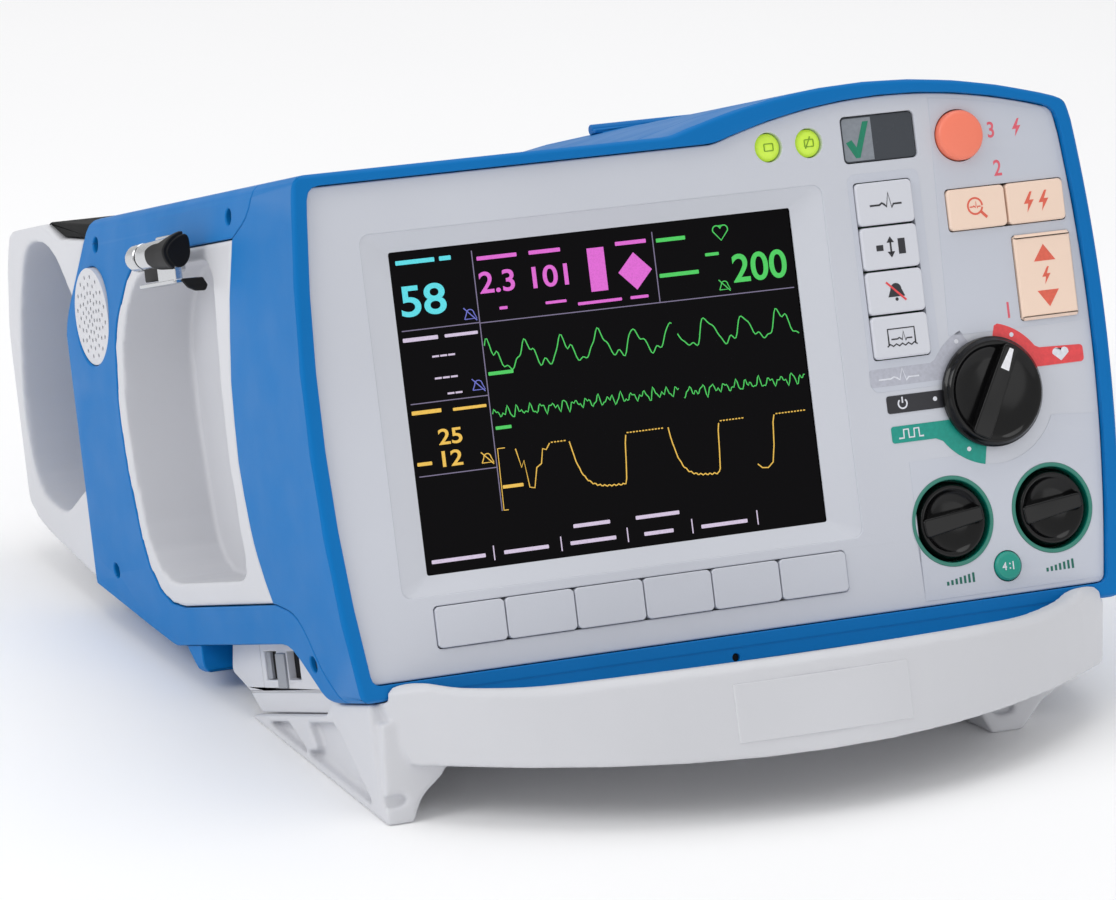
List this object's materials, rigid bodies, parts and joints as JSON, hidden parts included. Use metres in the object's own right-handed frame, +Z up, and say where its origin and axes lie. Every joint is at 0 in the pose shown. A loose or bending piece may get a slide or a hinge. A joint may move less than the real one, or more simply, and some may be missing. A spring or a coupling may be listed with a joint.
{
  "type": "hospital defibrillator and monitor",
  "caption": "Portable defibrillator and patient monitor with a leaning control panel, side paddle wells, a rear carrying handle and a bowed front bumper.",
  "frame": {"origin": "on the ground, at the middle of the bounding box of the whole unit", "axes": "+X to the right as the user faces the control panel, +Y from the panel towards the rear handle, +Z up"},
  "size_m": [0.2924, 0.3606, 0.1956],
  "materials": {
    "housing_blue": "moulded plastic with a fine satin texture",
    "panel_grey": "pale cool grey satin plastic",
    "white_plastic": "off-white satin plastic",
    "peach_keys": "soft-touch peach keycaps",
    "shock_orange": "smooth orange cap",
    "pacer_teal": "smooth teal cap",
    "knob_black": "glossy black knob",
    "display_glass": "clear window over a dark screen",
    "lamp_green": "lit yellow-green lens",
    "rubber_black": "soft black rubber",
    "latch_black": "black rubberised lever",
    "latch_chrome": "plated bracket",
    "spring_steel": "bare spring strip",
    "module_steel": "sheet-metal can",
    "board_green": "circuit board laminate",
    "tray_grey": "grey moulded tray",
    "battery_grey": "grey battery case",
    "capacitor_blue": "shrink-sleeved can",
    "paper": "white chart paper"
  },
  "bodies": {
    "housing": {"battery_tray": "tray_grey", "display_module": "module_steel", "display_window": "display_glass", "energy_capacitor": "capacitor_blue", "front_bumper": "white_plastic", "front_housing": "housing_blue", "front_panel": "panel_grey", "handle_grip": "rubber_black", "keypad_board": "board_green", "left_contact_spring": "spring_steel", "left_latch_bracket": "latch_chrome", "left_paddle_well": "white_plastic", "left_rear_foot": "rubber_black", "lower_chassis": "white_plastic", "main_board": "board_green", "mains_inlet": "rubber_black", "mode_switch": "module_steel", "output_encoder": "module_steel", "output_knob_well": "pacer_teal", "power_supply": "module_steel", "rate_encoder": "module_steel", "rate_knob_well": "pacer_teal", "rear_handle": "white_plastic", "rear_housing": "housing_blue", "recorder_frame": "tray_grey", "right_contact_spring": "spring_steel", "right_latch_bracket": "latch_chrome", "right_paddle_well": "white_plastic", "right_rear_foot": "rubber_black", "speaker_driver": "rubber_black", "speaker_grille": "white_plastic", "status_lamps": "lamp_green", "status_window": "display_glass"},
    "mode_knob": {"mode_knob": "knob_black"},
    "output_knob": {"output_knob": "knob_black"},
    "rate_knob": {"rate_knob": "knob_black"},
    "shock_button": {"shock_button": "shock_orange"},
    "pace_ratio_button": {"pace_ratio_button": "pacer_teal"},
    "energy_key": {"energy_key": "peach_keys"},
    "analyze_key": {"analyze_key": "peach_keys"},
    "charge_key": {"charge_key": "peach_keys"},
    "lead_key": {"lead_key": "white_plastic"},
    "size_key": {"size_key": "white_plastic"},
    "alarm_key": {"alarm_key": "white_plastic"},
    "recorder_key": {"recorder_key": "white_plastic"},
    "softkey_1": {"softkey_1": "panel_grey"},
    "softkey_2": {"softkey_2": "panel_grey"},
    "softkey_3": {"softkey_3": "panel_grey"},
    "softkey_4": {"softkey_4": "panel_grey"},
    "softkey_5": {"softkey_5": "panel_grey"},
    "softkey_6": {"softkey_6": "panel_grey"},
    "left_latch": {"left_latch": "latch_black"},
    "right_latch": {"right_latch": "latch_black"},
    "battery_pack": {"battery_pack": "battery_grey"},
    "recorder_door": {"recorder_door": "housing_blue"},
    "paper_roll": {"paper_roll": "paper"}
  },
  "joints": [
    {"name": "mode_turn", "type": "hinge", "parent": "housing", "child": "mode_knob", "pos_m": [0.0923, -0.10363, 0.09955], "axis": [0, -0.9563, 0.2924], "range_deg": [0, 180]},
    {"name": "output_turn", "type": "hinge", "parent": "housing", "child": "output_knob", "pos_m": [0.074, -0.11483, 0.06292], "axis": [0, -0.9563, 0.2924], "continuous": true},
    {"name": "rate_turn", "type": "hinge", "parent": "housing", "child": "rate_knob", "pos_m": [0.109, -0.11483, 0.06292], "axis": [0, -0.9563, 0.2924], "continuous": true},
    {"name": "shock_button_press", "type": "slide", "parent": "housing", "child": "shock_button", "axis": [0, 0.9563, -0.2924], "range_m": [0, 0.002]},
    {"name": "pace_ratio_button_press", "type": "slide", "parent": "housing", "child": "pace_ratio_button", "axis": [0, 0.9563, -0.2924], "range_m": [0, 0.001]},
    {"name": "energy_rock", "type": "hinge", "parent": "housing", "child": "energy_key", "pos_m": [0.1162, -0.09228, 0.13153], "axis": [1, 0, 0], "range_deg": [-3, 3]},
    {"name": "analyze_key_press", "type": "slide", "parent": "housing", "child": "analyze_key", "axis": [0, 0.9563, -0.2924], "range_m": [0, 0.001]},
    {"name": "charge_key_press", "type": "slide", "parent": "housing", "child": "charge_key", "axis": [0, 0.9563, -0.2924], "range_m": [0, 0.001]},
    {"name": "lead_key_press", "type": "slide", "parent": "housing", "child": "lead_key", "axis": [0, 0.9563, -0.2924], "range_m": [0, 0.001]},
    {"name": "size_key_press", "type": "slide", "parent": "housing", "child": "size_key", "axis": [0, 0.9563, -0.2924], "range_m": [0, 0.001]},
    {"name": "alarm_key_press", "type": "slide", "parent": "housing", "child": "alarm_key", "axis": [0, 0.9563, -0.2924], "range_m": [0, 0.001]},
    {"name": "recorder_key_press", "type": "slide", "parent": "housing", "child": "recorder_key", "axis": [0, 0.9563, -0.2924], "range_m": [0, 0.001]},
    {"name": "softkey_1_press", "type": "slide", "parent": "housing", "child": "softkey_1", "axis": [0, 0.9563, -0.2924], "range_m": [0, 0.0007]},
    {"name": "softkey_2_press", "type": "slide", "parent": "housing", "child": "softkey_2", "axis": [0, 0.9563, -0.2924], "range_m": [0, 0.0007]},
    {"name": "softkey_3_press", "type": "slide", "parent": "housing", "child": "softkey_3", "axis": [0, 0.9563, -0.2924], "range_m": [0, 0.0007]},
    {"name": "softkey_4_press", "type": "slide", "parent": "housing", "child": "softkey_4", "axis": [0, 0.9563, -0.2924], "range_m": [0, 0.0007]},
    {"name": "softkey_5_press", "type": "slide", "parent": "housing", "child": "softkey_5", "axis": [0, 0.9563, -0.2924], "range_m": [0, 0.0007]},
    {"name": "softkey_6_press", "type": "slide", "parent": "housing", "child": "softkey_6", "axis": [0, 0.9563, -0.2924], "range_m": [0, 0.0007]},
    {"name": "left_latch_swing", "type": "hinge", "parent": "housing", "child": "left_latch", "pos_m": [-0.1415, -0.00094, 0.1447], "axis": [0, 0.9563, -0.2924], "range_deg": [0, 30]},
    {"name": "right_latch_swing", "type": "hinge", "parent": "housing", "child": "right_latch", "pos_m": [0.1415, -0.00094, 0.1447], "axis": [0, -0.9563, 0.2924], "range_deg": [0, 30]},
    {"name": "battery_slide", "type": "slide", "parent": "housing", "child": "battery_pack", "axis": [0, 0.9563, -0.2924], "range_m": [0, 0.07]},
    {"name": "door_swing", "type": "hinge", "parent": "housing", "child": "recorder_door", "pos_m": [0.0625, 0.06078, 0.15333], "axis": [-1, 0, 0], "range_deg": [0, 100]},
    {"name": "roll_spin", "type": "hinge", "parent": "housing", "child": "paper_roll", "pos_m": [0.063, 0.01988, 0.13415], "axis": [1, 0, 0], "continuous": true}
  ]
}
